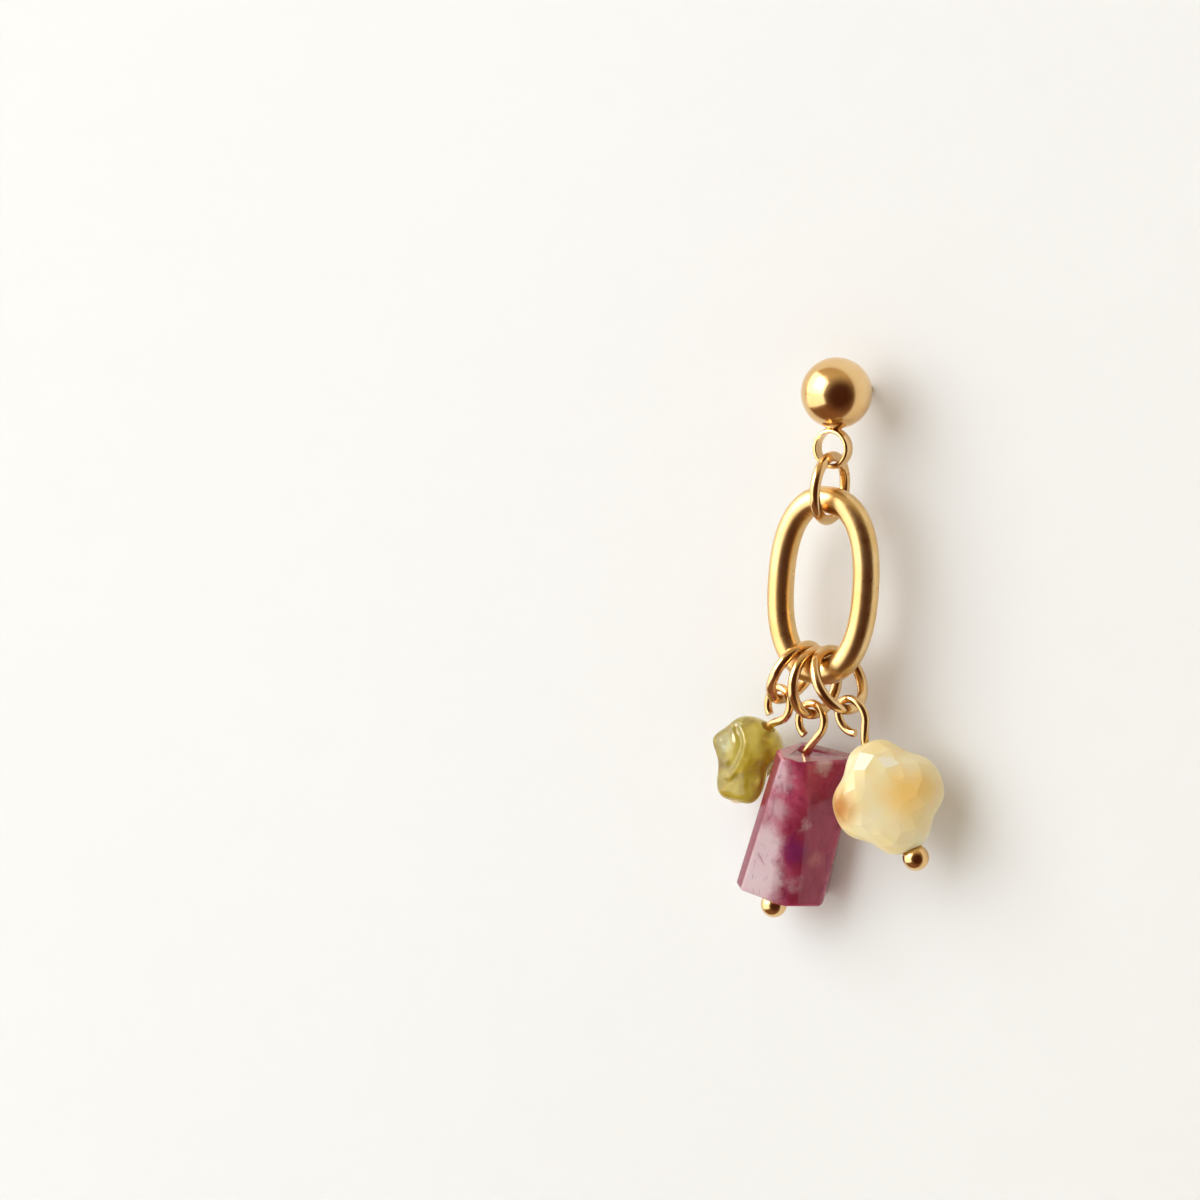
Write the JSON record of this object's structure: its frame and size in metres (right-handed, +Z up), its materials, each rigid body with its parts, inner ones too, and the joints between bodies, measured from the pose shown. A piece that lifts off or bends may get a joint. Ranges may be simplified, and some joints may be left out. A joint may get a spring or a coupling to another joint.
{
  "type": "drop earring",
  "caption": "Gold ball stud earring with an oval link on a jump ring and faceted stone beads on head pins hanging from rings at its foot.",
  "frame": {"origin": "where the post leaves the back of the ball, on the post's axis", "axes": "+Z up as the earring hangs, +Y along the post to the back, +X to the viewer's right of a front view"},
  "size_m": [0.0181, 0.0158, 0.0406],
  "materials": {
    "polished_gold": "polished gold plate",
    "satin_gold": "satin gold plate with fine speckle",
    "green_stone": "glossy tumbled olive green stone, clear in places",
    "purple_stone": "polished magenta stone with pale clouds and dark streaks",
    "yellow_stone": "waxy milky honey stone, faceted"
  },
  "bodies": {
    "stud": {"ball_stud": "polished_gold"},
    "top_ring": {"top_jump_ring": "polished_gold"},
    "drop": {"oval_link": "satin_gold", "jump_ring_green": "polished_gold", "jump_ring_purple": "polished_gold", "jump_ring_yellow": "polished_gold", "headpin_green": "polished_gold", "headpin_purple": "polished_gold", "headpin_yellow": "polished_gold", "green_nugget_bead": "green_stone", "purple_column_bead": "purple_stone", "yellow_clover_bead": "yellow_stone"}
  },
  "joints": [
    {"name": "sideways_swing", "type": "hinge", "parent": "stud", "child": "top_ring", "pos_m": [0, -0.0025, -0.00446], "axis": [0, 1, 0], "range_deg": [-90, 90]},
    {"name": "fore_aft_swing", "type": "hinge", "parent": "top_ring", "child": "drop", "pos_m": [0, -0.0025, -0.00753], "axis": [1, 0, 0], "range_deg": [-90, 90]}
  ]
}
